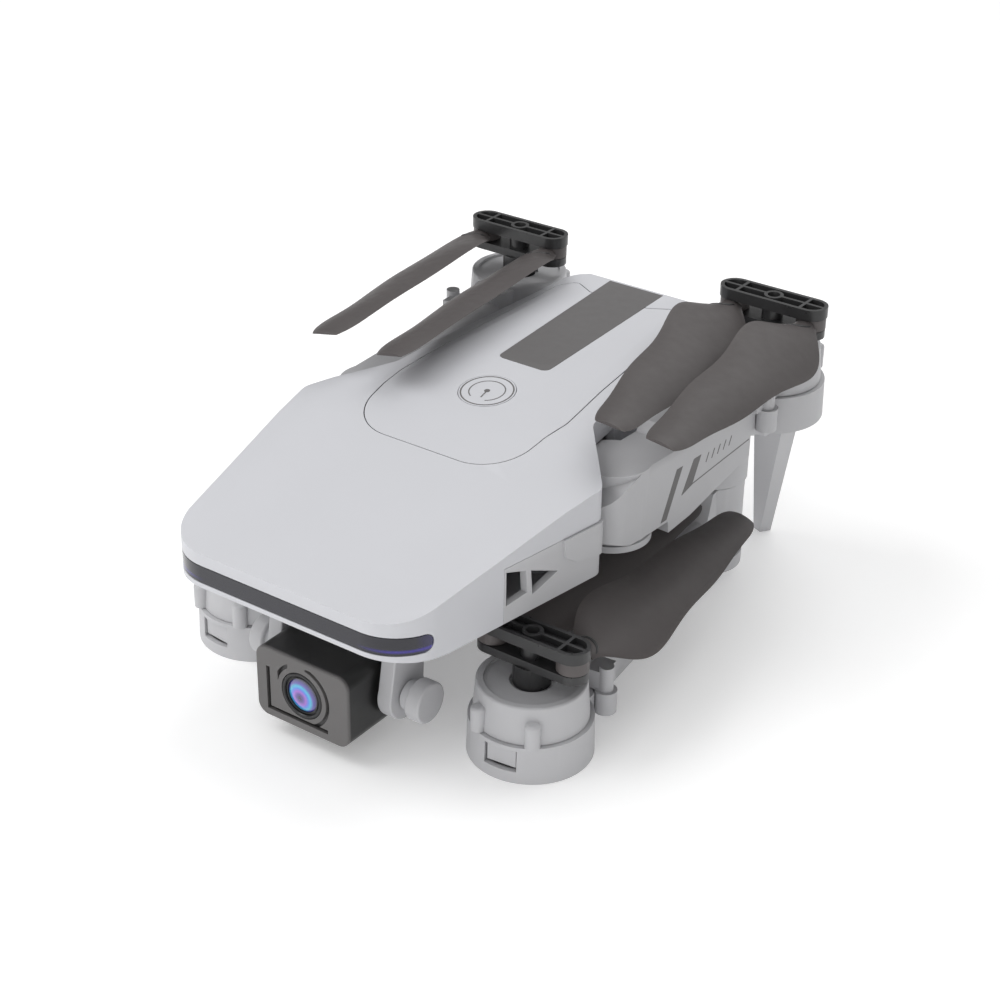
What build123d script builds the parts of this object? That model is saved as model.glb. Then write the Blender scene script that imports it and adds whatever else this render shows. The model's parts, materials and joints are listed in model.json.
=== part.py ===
from build123d import *
from math import atan2, cos, degrees, hypot, pi, radians, sin
import os

# Folding quadcopter drone, folded for storage. Millimetres, +Z up, nose towards -Y.
#
# The origin is on the ground under the middle of the folded drone. "Front" arms hang from the
# shoulders and fold back over the "rear" arms, which hang from the tail and fold forward.
# Left is the drone's own left, +X. The right side mirrors the left one, apart from how far each
# folded blade leans.

# ---- driving dimensions -------------------------------------------------------------------
HULL_FRONT_Y, HULL_REAR_Y = -68.8, 53.6
HULL_BASE_Z = 30.6                # underside of the shell band and of the floor plate
WALL = 1.5
SPLIT_Z = 42.6                    # above this the shoulder band is upper shell
NOSE_SPLIT_Y = -43.0              # ahead of this the upper shell reaches the hull base
NOSE_LIFT_Y, NOSE_LIFT = -57.0, 1.4   # ahead of this the underside slopes up, by this much at the tip
HULL_OUTLINE = [(28.8, HULL_FRONT_Y, 11.0), (37.2, -16.8, 3.0), (24.6, -1.5, 4.0), (17.6, HULL_REAR_Y, 3.0)]
ROOF_STATIONS = [                 # y, height of the middle, half-width of the middle, fall per mm beyond it
    (-72.0, 38.6, 20.5, 0.02), (-60.0, 42.2, 22.5, 0.06), (-46.0, 45.6, 23.5, 0.13),
    (-27.0, 50.0, 23.5, 0.15), (-12.0, 53.1, 20.5, 0.17), (9.0, 55.6, 16.5, 0.22), (56.0, 57.8, 12.5, 0.30)]
LID_OUTLINE = [(18.9, -25.3, 10.5), (20.7, -5.0, 12.0), (16.3, 46.0, 2.0), (12.0, 48.0, 1.0),
               (7.5, 45.6, 1.0)]
LID_T, SEAM = 0.9, 0.22
STRIPE_Y, STRIPE_HALF, STRIPE_T = (8.9, HULL_REAR_Y - 0.6), (6.25, 6.95), 0.4
ICON_Y, BUTTON_R, BUTTON_TRAVEL = -3.3, 5.9, 0.5
BOARD_Z, SWITCH_TOP_Z = (47.9, 48.9), 52.3
BAND_REAR_Y = -15.4               # where the shoulder band stops, clear of an open front arm
WINDOWS = [[(-42.4, 41.6), (-37.2, 39.9), (-36.8, 35.0), (-42.4, 34.3)],
           [(-35.9, 39.4), (-28.6, 36.3), (-35.4, 33.9)]]
PAD_REAR_Y = -16.1                # the raised pad stops further forward, for the same reason
SHOULDER_PAD = [(PAD_REAR_Y, 35.2), (PAD_REAR_Y, SPLIT_Z - 0.1), (-27.5, SPLIT_Z - 0.1),
                (-27.0, 38.6), (-24.0, 36.4)]
SCREWS = [(26.0, -54.0), (27.5, -24.0)]
SCREW_R, SCREW_HEAD_R, SCREW_TOP_Z = 0.8, 1.7, 39.0
FLOOR_T = 1.4
LUG_R = 8.4
TAIL_HALF, TAIL_TOP_Z = 17.2, 31.0

LIGHT_Z, LIGHT_H, LIGHT_DEPTH = 35.0, 3.7, 1.6
LIGHT_END_Y = -60.6               # tip of the bar's rounded end

UPPER = dict(name="front", pod=(33.15, 54.9), pivot=(30.0, -2.0), base=37.2, outer=7.9, inner=3.4,
             drum_r=8.0, drum_z=(32.2, 47.6), blade_lean=(4.0, 9.6), mirror_lean=(-6.0, -5.0))
LOWER = dict(name="rear", pod=(35.3, -36.5), pivot=(27.0, 43.0), base=0.0, outer=5.0, inner=5.0,
             drum_r=8.0, drum_z=(6.4, 24.0), blade_lean=(-2.0, 3.0), mirror_lean=(-2.0, 3.0))
POD_H = 16.3
POD_BASE_R, POD_LEDGE_R, POD_WAIST_R, POD_TOP_R = 12.6, 12.4, 11.5, 10.9
POD_LEDGE_Z = 8.2
POD_WALL = 1.2
POD_WINDOW_HALF, POD_WINDOW_Z = 3.5, (2.6, 7.3)
BOSS_AT = (14.2, 9.0)              # screw boss beside the pod: along the arm, and outwards
PIVOT_PIN_R, PIVOT_BORE_R = 1.5, 1.56
ROOT_NOSE, ROOT_REACH = 11.5, 12.2   # front arm's root ahead of its pivot, and its largest radius

HUB_TOP = 10.7                    # above the pod's top
HUB_BAR_HALF, HUB_BAR_R = 12.6, 3.5
HUB_PIN_X, HUB_PIN_R = 9.2, 1.1
HUB_TOP_T, HUB_GAP, HUB_LOW_T = 2.4, 2.8, 1.8
SHAFT_R, SHAFT_BORE_R = 0.75, 0.80

BLADE_LENGTH = 68.0
BLADE_ROOT_R, BLADE_ROOT_T = 3.2, 2.5
BLADE_STATIONS = [                # share of the length, chord, thickness, pitch in degrees, side shift
    (0.045, 5.2, 1.7, 0.0, 0.0), (0.12, 10.8, 1.7, 14.0, 0.3), (0.20, 16.6, 1.4, 24.0, 0.5),
    (0.34, 16.6, 1.25, 24.0, 0.7), (0.60, 13.2, 1.1, 20.0, 0.5), (0.84, 9.9, 0.95, 14.0, 0.2),
    (0.96, 8.2, 0.85, 11.0, 0.0), (1.0, 6.0, 0.7, 10.0, -0.2)]

GEAR_MODULE, GEAR_TEETH, PINION_TEETH = 0.3, 60, 9
GEAR_Z, GEAR_T, PINION_T = 2.6, 2.0, 2.6
GEAR_CENTRES = GEAR_MODULE * (GEAR_TEETH + PINION_TEETH) / 2 + 0.04
MOTOR_R = 3.0

CAM_AXIS_Y, CAM_AXIS_Z = -50.3, 12.0
CAM_HALF, CAM_Z, CAM_Y = 11.5, (4.0, 19.9), (-63.3, -47.5)
LENS_RING_R, LENS_GLASS_R, KNOB_SHAFT_R = 5.0, 3.4, 2.0
EAR_X, EAR_T, EAR_R = 12.4, 3.4, 5.4
KNOB_X, KNOB_R = 19.7, 4.3

BATTERY_HALF, BATTERY_Z, BATTERY_FRONT_Y = 14.3, (32.4, 47.4), 4.0


TAIL_Y = (LOWER["pivot"][1] - LUG_R, HULL_REAR_Y - 0.4)


# ---- helpers ------------------------------------------------------------------------------
def rounded_outline(right_side):
    """Face of a left-right symmetric outline, from its right-hand corners as (x, y, radius)."""
    points = [(x, y) for x, y, _ in right_side] + [(-x, y) for x, y, _ in reversed(right_side)]
    radii = [r for _, _, r in right_side] + [r for _, _, r in reversed(right_side)]
    face = make_face(Polyline(*points, close=True))
    for (x, y), r in zip(points, radii):
        corner = [v for v in face.vertices() if hypot(v.X - x, v.Y - y) < 1e-3]
        face = fillet(corner, r)
    return face


def column(face, low, high):
    """Straight prism of a plan face between two heights."""
    return extrude(Pos(0, 0, low) * face, high - low)


def box(x, y, z):
    """Box from three (low, high) pairs."""
    centre = [(a + b) / 2 for a, b in (x, y, z)]
    return Pos(*centre) * Box(x[1] - x[0], y[1] - y[0], z[1] - z[0])


def disc(r, z, at=(0, 0)):
    """Upright cylinder between two heights."""
    return Pos(at[0], at[1], z[0]) * extrude(Circle(r), z[1] - z[0])


def cone(r_low, r_high, z, at=(0, 0)):
    """Upright cone frustum between two heights."""
    return Pos(at[0], at[1], (z[0] + z[1]) / 2) * Cone(r_low, r_high, z[1] - z[0])


def rod_x(r, x, y, z):
    """Cylinder along X between two x values."""
    return Pos(sum(x) / 2, y, z) * Rot(0, 90, 0) * Cylinder(r, x[1] - x[0])


def both_sides(shape):
    """A shape and its mirror image in the drone's middle plane."""
    return shape + mirror(shape, Plane.YZ)


def roof(drop):
    """Solid below the hull's top surface, lowered by drop."""
    sections = []
    for y, height, half, fall in ROOF_STATIONS:
        reach = 45.0
        edge = height - drop - fall * (reach - half)
        profile = [(-reach, edge), (-half, height - drop), (half, height - drop), (reach, edge),
                   (reach, 0), (-reach, 0)]
        sections.append(make_face(Polyline(*[(x, y, z) for x, z in profile], close=True)))
    return loft(sections, ruled=True)


def safe_fillet(shape, edges, radius):
    """Fillet that keeps the sharp shape where the edge can't take the radius."""
    try:
        return fillet(edges, radius)
    except Exception:
        return shape


# ---- hull ---------------------------------------------------------------------------------
hull_face = rounded_outline(HULL_OUTLINE)
hull_inner_face = offset(hull_face, -WALL)
roof_outer, roof_inner, roof_lid = roof(0), roof(2 * LID_T), roof(LID_T)
lid_face = rounded_outline(LID_OUTLINE)


def arm_passages():
    """Room for the front arms' drums and roots, on both sides."""
    px, py = UPPER["pivot"]
    low, high = UPPER["drum_z"]
    room = disc(ROOT_REACH + 0.8, (low - 0.3, high + 0.4), (px, py))
    room += box((px - 6.0, 45), (BAND_REAR_Y + 0.6, 12), (low - 0.3, high + 0.4))
    return both_sides(room)


def lug(pivot, radius, low, high):
    """Round-ended ear from the hull's middle out to an arm pivot, on both sides."""
    ear = disc(radius, (low, high), pivot)
    ear += box((12, pivot[0]), (pivot[1] - radius, pivot[1] + radius), (low, high))
    return both_sides(ear)


def light_strip(grow, depth):
    """Band round the nose that the light bar fills, grown by a clearance."""
    inner = offset(hull_face, -depth)
    ring = column(hull_face, LIGHT_Z - LIGHT_H / 2 - grow, LIGHT_Z + LIGHT_H / 2 + grow)
    ring -= column(inner, 20, 60)
    round_r = LIGHT_H / 2 + grow
    end_y = LIGHT_END_Y - LIGHT_H / 2
    keep = box((-40, 40), (HULL_FRONT_Y - 5, end_y), (20, 60)) + rod_x(round_r, (-40, 40), end_y, LIGHT_Z)
    return ring & keep


def nose_slope(rise):
    """Room below the nose's sloping underside, raised by rise."""
    front = HULL_FRONT_Y - 3
    low, high = HULL_BASE_Z + rise, HULL_BASE_Z + NOSE_LIFT + rise
    return wedge([(front, 0), (NOSE_LIFT_Y, 0), (NOSE_LIFT_Y, low), (HULL_FRONT_Y, high), (front, high)],
                 (-40, 40))


def upper_shell():
    shell = column(hull_face, HULL_BASE_Z, 70) & roof_outer
    shell -= column(hull_inner_face, 0, 70) & roof_inner
    shell -= nose_slope(0)
    shell -= column(offset(lid_face, SEAM), 0, 70) - roof_lid
    band = box((16, 45), (NOSE_SPLIT_Y, 4), (20, SPLIT_Z))
    shell -= both_sides(band)
    shell -= arm_passages()
    shell -= light_strip(0.12, LIGHT_DEPTH + 0.1)
    shell -= stripe(0.05)
    shell -= disc(BUTTON_R + 0.15, (40, 60), (0, ICON_Y))
    for x, y in SCREWS:
        post = disc(2.3, (HULL_BASE_Z + FLOOR_T, 60), (x, y)) & roof_inner
        shell += both_sides(post - disc(SCREW_R, (20, SCREW_TOP_Z), (x, y)))
    shell -= box((-BATTERY_HALF - 0.6, BATTERY_HALF + 0.6), (45, 60), (20, BATTERY_Z[1] + 0.5))
    shell -= lug(UPPER["pivot"], LUG_R + 0.15, 20, HULL_BASE_Z + FLOOR_T + 0.1)
    shell -= lug(LOWER["pivot"], LUG_R + 0.15, 20, TAIL_TOP_Z + 0.1)
    shell -= box((-TAIL_HALF - 0.1, TAIL_HALF + 0.1), TAIL_Y, (20, TAIL_TOP_Z + 0.1))
    return shell


def top_panel():
    lid = column(lid_face, 40, 70) & roof_outer
    lid -= roof_lid
    lid -= disc(BUTTON_R + 0.15, (40, 60), (0, ICON_Y))
    lid -= stripe(0.05)
    return lid


def stripe(clearance):
    """Dark inlay down the middle of the back."""
    y0, y1 = STRIPE_Y
    w0, w1 = STRIPE_HALF
    face = make_face(Polyline((-w0, y0), (w0, y0), (w1, y1), (-w1, y1), close=True))
    face = fillet([v for v in face.vertices() if v.Y < y0 + 1], 1.6)
    band = column(offset(face, clearance) if clearance else face, 40, 70)
    return (band & roof(0)) - roof(STRIPE_T)


def power_button():
    cap = disc(BUTTON_R, (46, 60), (0, ICON_Y)) & roof_outer
    cap -= roof(LID_T)
    return cap + disc(1.6, (SWITCH_TOP_Z + BUTTON_TRAVEL + 0.05, 54.0), (0, ICON_Y))


def wedge(points, x):
    """Prism along X of a closed (y, z) outline between two x values."""
    face = make_face(Polyline(*[(x[0], y, z) for y, z in points], close=True))
    return extrude(face, amount=x[1] - x[0], dir=(1, 0, 0))


def lower_shell():
    floor_top = HULL_BASE_Z + FLOOR_T
    shell = column(offset(hull_inner_face, -0.1), HULL_BASE_Z, floor_top) - nose_slope(0)
    nose_floor = column(offset(hull_inner_face, -0.4), HULL_BASE_Z, 40) & nose_slope(FLOOR_T)
    shell += nose_floor - nose_slope(0)
    shoulder = column(hull_face, HULL_BASE_Z, floor_top)
    shell += shoulder & box((-40, 40), (NOSE_SPLIT_Y + 0.1, 2), (20, 60))
    band = column(hull_face, HULL_BASE_Z, SPLIT_Z - 0.1) - column(hull_inner_face, 0, 60)
    band &= both_sides(box((16, 45), (NOSE_SPLIT_Y + 0.1, BAND_REAR_Y), (20, 60)))
    for outline in WINDOWS:
        band -= both_sides(wedge(outline, (25, 45)))
    shell += band
    pad = column(offset(hull_face, 0.5), 30, SPLIT_Z - 0.1) - column(hull_inner_face, 0, 60)
    shell += pad & both_sides(wedge(SHOULDER_PAD, (25, 45)))
    shell += both_sides(disc(4.2, (HULL_BASE_Z - 2.4, floor_top), UPPER["pivot"]))
    shell += lug(UPPER["pivot"], LUG_R, HULL_BASE_Z, floor_top)
    shell += lug(LOWER["pivot"], LUG_R, LOWER["drum_z"][1] + 0.35, TAIL_TOP_Z)
    shell += lug(LOWER["pivot"], LUG_R, 3.0, LOWER["drum_z"][0] - 0.35)
    shell += box((-TAIL_HALF, TAIL_HALF), TAIL_Y, (3.0, TAIL_TOP_Z))
    for centre in (-10.5, 0, 10.5):
        pocket_y = (TAIL_Y[0] + 1.8, TAIL_Y[1] - 1.8)
        shell -= box((centre - 4.6, centre + 4.6), pocket_y, (0, HULL_BASE_Z - 1.2))
    for pivot in (UPPER["pivot"], LOWER["pivot"]):
        shell -= both_sides(disc(PIVOT_PIN_R, (0, 60), pivot))
    rail_y = (BATTERY_FRONT_Y, HULL_REAR_Y - 4)
    rail = box((BATTERY_HALF + 0.3, BATTERY_HALF + 1.3), rail_y, (floor_top - 0.2, 39))
    shell += both_sides(rail)
    for x, y in SCREWS:
        shell -= both_sides(disc(SCREW_R, (20, 60), (x, y)))
        shell -= both_sides(disc(SCREW_HEAD_R, (20, HULL_BASE_Z + 0.9), (x, y)))
    shell -= box((-5.2, 5.2), (-26.2, -15.8), (20, 60))
    return shell


def shell_screws():
    screws = None
    for x, y in SCREWS:
        screw = disc(SCREW_HEAD_R, (HULL_BASE_Z + 0.1, HULL_BASE_Z + 0.9), (x, y))
        screw -= box((x - 1.1, x + 1.1), (y - 0.2, y + 0.2), (HULL_BASE_Z, HULL_BASE_Z + 0.4))
        screw += disc(SCREW_R, (HULL_BASE_Z + 0.8, SCREW_TOP_Z - 0.5), (x, y))
        screws = both_sides(screw) if screws is None else screws + both_sides(screw)
    return screws


def arm_pivot_pins():
    front = disc(PIVOT_PIN_R, (HULL_BASE_Z - 2.0, UPPER["drum_z"][1] - 2.6), UPPER["pivot"])
    rear = disc(PIVOT_PIN_R, (3.2, HULL_BASE_Z), LOWER["pivot"])
    rear += disc(2.4, (2.6, 3.0), LOWER["pivot"]) + disc(PIVOT_PIN_R, (2.9, 3.3), LOWER["pivot"])
    return both_sides(front + rear)


def flight_board():
    board = box((-12, 12), (-14, 26), BOARD_Z)
    for x, y, w, d, h in ((0, 8, 9, 9, 1.2), (-7, -8, 5, 5, 1.0), (7.5, -7, 3, 6, 1.0), (6, 20, 6, 5, 1.4)):
        board += box((x - w / 2, x + w / 2), (y - d / 2, y + d / 2), (BOARD_Z[1] - 0.1, BOARD_Z[1] + h))
    for x, y in ((-10, -12), (10, -12), (-10, 24), (10, 24)):
        board -= disc(0.9, (40, 60), (x, y))
    return board


def power_switch():
    body = box((-3, 3), (ICON_Y - 3, ICON_Y + 3), (BOARD_Z[1], SWITCH_TOP_Z - 1.0))
    return body + disc(1.5, (SWITCH_TOP_Z - 1.1, SWITCH_TOP_Z), (0, ICON_Y))


def battery_contacts():
    strips = None
    for x in (-6, 0, 6):
        strip = box((x - 1, x + 1), (1.4, 2.0), (32.0, 42.0)) + box((x - 1, x + 1), (1.4, 3.7), (36.0, 36.8))
        strips = strip if strips is None else strips + strip
    return strips


def battery_case():
    y0, y1 = BATTERY_FRONT_Y, HULL_REAR_Y
    case = box((-BATTERY_HALF, BATTERY_HALF), (y0, y1), BATTERY_Z)
    case = safe_fillet(case, case.edges().filter_by(Axis.Y), 1.5)
    case -= box((-BATTERY_HALF + 1, BATTERY_HALF - 1), (y0 + 1, y1 - 3), (BATTERY_Z[0] + 1, BATTERY_Z[1] - 1))
    for k in range(4):
        z = BATTERY_Z[0] + 4.5 + 2.0 * k
        case -= box((-8, 8), (y1 - 0.5, y1 + 1), (z, z + 0.8))
    return case


def battery_cell():
    y0, y1 = BATTERY_FRONT_Y + 1.3, HULL_REAR_Y - 3.3
    cell = box((-12.9, 12.9), (y0, y1), (BATTERY_Z[0] + 1.3, BATTERY_Z[1] - 1.3))
    return safe_fillet(cell, cell.edges().filter_by(Axis.Y), 3.0)


def belly_sensor():
    base = box((-5.0, 5.0), (-26.0, -16.0), (HULL_BASE_Z - 0.9, HULL_BASE_Z + 1.0))
    base = safe_fillet(base, base.edges().filter_by(Axis.Z), 1.2)
    at = (0, -21)
    base += disc(2.6, (HULL_BASE_Z - 1.9, HULL_BASE_Z - 0.8), at)
    return base - disc(1.6, (20, HULL_BASE_Z - 1.4), at)


# ---- camera -------------------------------------------------------------------------------
def camera_bracket():
    top_z = HULL_BASE_Z - 0.05
    base = box((-EAR_X - EAR_T, EAR_X + EAR_T), (CAM_AXIS_Y - 6.5, CAM_AXIS_Y + 7.5), (top_z - 1.7, top_z))
    ear = rod_x(EAR_R, (EAR_X, EAR_X + EAR_T), CAM_AXIS_Y, CAM_AXIS_Z)
    ear += wedge([(CAM_AXIS_Y - 5.0, CAM_AXIS_Z + 2.0), (CAM_AXIS_Y - 2.0, top_z), (CAM_AXIS_Y + 6.0, top_z),
                  (CAM_AXIS_Y + 5.2, CAM_AXIS_Z + 1.4)], (EAR_X, EAR_X + EAR_T))
    ear -= rod_x(KNOB_SHAFT_R + 0.06, (0, 30), CAM_AXIS_Y, CAM_AXIS_Z)
    return base + both_sides(ear)


def camera_housing():
    y0, y1 = CAM_Y
    body = box((-CAM_HALF, CAM_HALF), (y0, y1), CAM_Z)
    body = safe_fillet(body, body.edges().filter_by(Axis.Y), 2.6)
    body = safe_fillet(body, body.faces().sort_by(Axis.Y)[0].edges(), 0.35)
    body -= box((-CAM_HALF + 1.3, CAM_HALF - 1.3), (y0 + 2.2, y1 + 1), (CAM_Z[0] + 1.3, CAM_Z[1] - 1.3))
    lens = Pos(0, y0, CAM_AXIS_Z) * Rot(90, 0, 0)
    body -= lens * Cylinder(LENS_RING_R + 0.05, 12)
    groove = lens * (Cylinder(6.9, 1.6) - Cylinder(6.1, 2.0))
    groove &= box((1.0, 9), (y0 - 2, y0 + 2), (CAM_AXIS_Z - 6, CAM_AXIS_Z + 6.5)) + \
        box((-6, -3.4), (y0 - 2, y0 + 2), (CAM_AXIS_Z + 1.5, CAM_AXIS_Z + 8))
    body -= groove
    body -= box((-8.9, -8.0), (y0 - 1, y0 + 0.9), (6.6, 15.6))
    body -= box((-8.9, 6.4), (y0 - 1, y0 + 0.9), (5.7, 6.6))
    for side in (-1, 1):
        body -= rod_x(KNOB_SHAFT_R, sorted((side * 8, side * 30)), CAM_AXIS_Y, CAM_AXIS_Z)
    return body


def camera_cover():
    y1 = CAM_Y[1]
    plate = box((-CAM_HALF + 1.3, CAM_HALF - 1.3), (y1 - 1.4, y1), (CAM_Z[0] + 1.3, CAM_Z[1] - 1.3))
    plate = safe_fillet(plate, plate.edges().filter_by(Axis.Y), 1.2)
    for k in range(3):
        z = CAM_AXIS_Z - 2.4 + 2.0 * k
        plate -= box((-5, 5), (y1 - 0.5, y1 + 1), (z, z + 0.8))
    return plate


def camera_knobs():
    knob = rod_x(KNOB_SHAFT_R, (CAM_HALF - 1.3, KNOB_X - 1.4), CAM_AXIS_Y, CAM_AXIS_Z)
    knob += rod_x(3.1, (EAR_X + EAR_T + 0.25, KNOB_X - 1.4), CAM_AXIS_Y, CAM_AXIS_Z)
    head = rod_x(KNOB_R, (KNOB_X - 1.6, KNOB_X + 1.8), CAM_AXIS_Y, CAM_AXIS_Z)
    head = safe_fillet(head, head.edges(), 0.5)
    return both_sides(knob + head)


def lens_barrel():
    place = Pos(0, CAM_Y[0] + 0.4, CAM_AXIS_Z) * Rot(-90, 0, 0)
    barrel = place * extrude(Circle(LENS_RING_R), 9.5)
    barrel -= place * extrude(Circle(4.3), 1.0)
    barrel -= place * Pos(0, 0, 0.9) * extrude(Circle(LENS_GLASS_R), 2.2)
    return barrel


def lens_glass():
    place = Pos(0, CAM_Y[0] + 0.4, CAM_AXIS_Z) * Rot(-90, 0, 0)
    disc_part = place * Pos(0, 0, 1.4) * extrude(Circle(LENS_GLASS_R), 1.6)
    dome_r = 5.0
    dome = place * Pos(0, 0, dome_r + 0.5) * Sphere(dome_r)
    dome &= place * extrude(Circle(LENS_GLASS_R), 1.5)
    return disc_part + dome


# ---- arms ---------------------------------------------------------------------------------
def gear_face(teeth, bore, addendum, dedendum=1.15, pitch_share=0.40):
    """Spur gear outline with straight-sided teeth and a round bore; a tooth points along +X."""
    pitch_r = GEAR_MODULE * teeth / 2
    half = pi / teeth
    tip_r, root_r = pitch_r + addendum * GEAR_MODULE, pitch_r - dedendum * GEAR_MODULE
    profile = [(root_r, -0.62), (pitch_r, -pitch_share), (tip_r, -0.17),
               (tip_r, 0.17), (pitch_r, pitch_share), (root_r, 0.62)]
    points = []
    for k in range(teeth):
        for r, share in profile:
            angle = 2 * pi * k / teeth + half * share
            points.append((r * cos(angle), r * sin(angle)))
    return make_face(Polyline(*points, close=True)) - Circle(bore)


def bar_profile(arm, length):
    """Side view of an arm from its pod to its pivot, as (distance from the pod, height)."""
    low, high = arm["drum_z"]
    ledge = arm["base"] + POD_LEDGE_Z + 0.15
    if arm is UPPER:
        return [(18.2, ledge - 10.2), (18.2, ledge), (8, ledge), (8, 50.4), (length - 14, 50.2),
                (length - 12.6, high), (length, high), (length, low), (length - 9.0, low),
                (length - 9.4, 29.4), (40, 30.2)]
    return [(18.2, 1.6), (18.2, ledge), (8, ledge), (8, 15.0), (50, 16.4), (length - 11, 17.8),
            (length - 8.6, high), (length, high), (length, low), (length - 10.6, low), (length - 12.4, 3.0)]


def root_nose(length, outer_sign):
    """Front arm's root ahead of its pivot: flush with the arm outside, tucked under the shell."""
    low, high = UPPER["drum_z"]
    side_view = [(length, low), (length + 4, low + 0.2), (length + ROOT_NOSE, low + 3.0),
                 (length + ROOT_NOSE, 42.0), (length + 6.5, 45.6), (length, high)]
    y_low, y_high = sorted((outer_sign * UPPER["outer"], outer_sign * (UPPER["outer"] - 10)))
    face = make_face(Polyline(*[(x, y_low, z) for x, z in side_view], close=True))
    nose = extrude(face, amount=y_high - y_low, dir=(0, 1, 0))
    corner_r = 6.0
    keep = disc(corner_r, (0, 70), (length + ROOT_NOSE - corner_r, outer_sign * (UPPER["outer"] - corner_r)))
    keep += box((length - 1, length + ROOT_NOSE - corner_r), (y_low, y_high), (0, 70))
    keep += box((length - 1, length + ROOT_NOSE), sorted((outer_sign * (UPPER["outer"] - corner_r),
                                                          outer_sign * (UPPER["outer"] - 10))), (0, 70))
    return nose & keep & disc(ROOT_REACH, (0, 70), (length, 0))


def arm_body(arm, length, outer_sign):
    """Arm with the pod's upper half, in the pod's frame: pivot along +X, heights from the ground."""
    base, top = arm["base"], arm["base"] + POD_H
    y_low, y_high = sorted((outer_sign * arm["outer"], -outer_sign * arm["inner"]))
    face = make_face(Polyline(*[(x, y_low, z) for x, z in bar_profile(arm, length)], close=True))
    bar = extrude(face, amount=y_high - y_low, dir=(0, 1, 0))
    rounded_edges = []
    for e in bar.edges():
        if e.length > 20 and e.center().Z > arm["drum_z"][0] + 8:
            radius = 4.2 if arm is UPPER and e.center().Y * outer_sign > 0 else 2.2
            rounded_edges.append((e, radius))
    for edge, radius in rounded_edges:
        bar = safe_fillet(bar, [e for e in bar.edges() if (e.center() - edge.center()).length < 0.4], radius)
    roof_z = 47.6 if arm is UPPER else 13.2
    channel = box((22, length - 15), (y_low + 1.8, y_high - 1.8), (base - 40, roof_z))
    bar -= channel
    bar += disc(arm["drum_r"], arm["drum_z"], (length, 0))
    if arm is UPPER:
        bar += root_nose(length, outer_sign)
    cap = cone(POD_WAIST_R, POD_TOP_R, (base + POD_LEDGE_Z + 0.15, top))
    cap = safe_fillet(cap, cap.faces().sort_by(Axis.Z)[-1].edges(), 0.5)
    cap -= disc(POD_TOP_R - 1.5, (top - 0.6, top + 1))
    for angle in (150, 210):
        at = (POD_LEDGE_R * cos(radians(angle)) * 0.955, POD_LEDGE_R * sin(radians(angle)) * 0.955)
        peg = disc(1.55, (base + POD_LEDGE_Z + 0.15, base + 13.6), at)
        cap += safe_fillet(peg, peg.faces().sort_by(Axis.Z)[-1].edges(), 0.7)
    shape = bar + cap + disc(4.7, (base + POD_LEDGE_Z + 0.15, top - 0.9), (GEAR_CENTRES, 0))
    at = (BOSS_AT[0], outer_sign * BOSS_AT[1])
    boss = disc(1.5, (base + 4.2, base + 13.8), at) + disc(2.3, (base + 3.4, base + 8.4), at)
    boss += box((at[0] - 1.2, at[0] + 4.2), sorted((at[1], outer_sign * (arm["outer"] - 1.0))),
                (base + POD_LEDGE_Z + 0.15, base + 12.6))
    shape += boss
    shape -= disc(POD_WAIST_R - 1.5, (base, top - 2.6)) & disc(20, (base, top))
    shape -= disc(MOTOR_R, (base, base + 14.3), (GEAR_CENTRES, 0))
    shape += disc(3.0, (base + 10.2, top - 2.5))
    shape -= disc(4.4, (top - 1.5, top + 1))
    shape -= disc(SHAFT_BORE_R, (base, top + 1))
    tab_half = POD_WINDOW_HALF - 0.4
    low, high = POD_WINDOW_Z
    tab_y, tab_low = (-tab_half, tab_half), base + low + 0.6
    shape += box((-POD_LEDGE_R + 1.6, -POD_WAIST_R + 1.9), tab_y, (tab_low, base + POD_LEDGE_Z + 0.4))
    shape += box((-POD_LEDGE_R + 0.9, -POD_LEDGE_R + 1.7), tab_y, (tab_low, base + high - 0.3))
    if arm is UPPER:
        shape -= disc(PIVOT_BORE_R, (0, arm["drum_z"][1] - 2.4), (length, 0))
    else:
        shape -= disc(PIVOT_BORE_R, (0, 60), (length, 0))
    return shape


def pod_cover(arm, outer_sign):
    """Cup under the pod, oval towards the arm, with a window over the snap tab."""
    base = arm["base"]
    top = base + POD_LEDGE_Z
    cup = cone(POD_BASE_R, POD_LEDGE_R, (base, top))
    side_view = [(4, base), (11.5, base), (17.8, base + 2.6), (17.8, top), (4, top)]
    nose = make_face(Polyline(*[(x, -7.6, z) for x, z in side_view], close=True))
    cup += extrude(nose, amount=15.2, dir=(0, 1, 0))
    cup = safe_fillet(cup, [e for e in cup.edges() if abs(e.center().Z - base) < 0.01], 1.3)
    cup -= cone(POD_BASE_R - POD_WALL, POD_LEDGE_R - POD_WALL, (base + 1.4, top + 0.01))
    cup -= box((4, 16.4), (-5.6, 5.6), (base + 3.4, top + 1))
    cup -= disc(2.0, (base + 1.6, top + 1), (GEAR_CENTRES, 0))
    low, high = POD_WINDOW_Z
    window_y = (-POD_WINDOW_HALF, POD_WINDOW_HALF)
    cup -= box((-POD_BASE_R - 1, -POD_BASE_R + 3), window_y, (base + low, base + high))
    at = (BOSS_AT[0], outer_sign * BOSS_AT[1])
    cup -= disc(2.6, (base, top + 1), at)
    return cup


def leg(arm):
    """Tapered landing leg under a front arm's pod, down to the ground."""
    px, py = arm["pod"]
    top = [(4.0, 3.2), (4.4, 10.7), (-2.6, 11.0), (-2.6, 0.0)]
    tip = [(-3.6, 9.8), (-2.0, 12.1), (-4.6, 12.8), (-5.9, 10.9)]
    faces = []
    for corners, z in ((tip, 0.0), (top, arm["base"] + 1.2)):
        faces.append(make_face(Polyline(*[(px + x, py + y, z) for x, y in corners], close=True)))
    return loft(faces, ruled=True)


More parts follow.
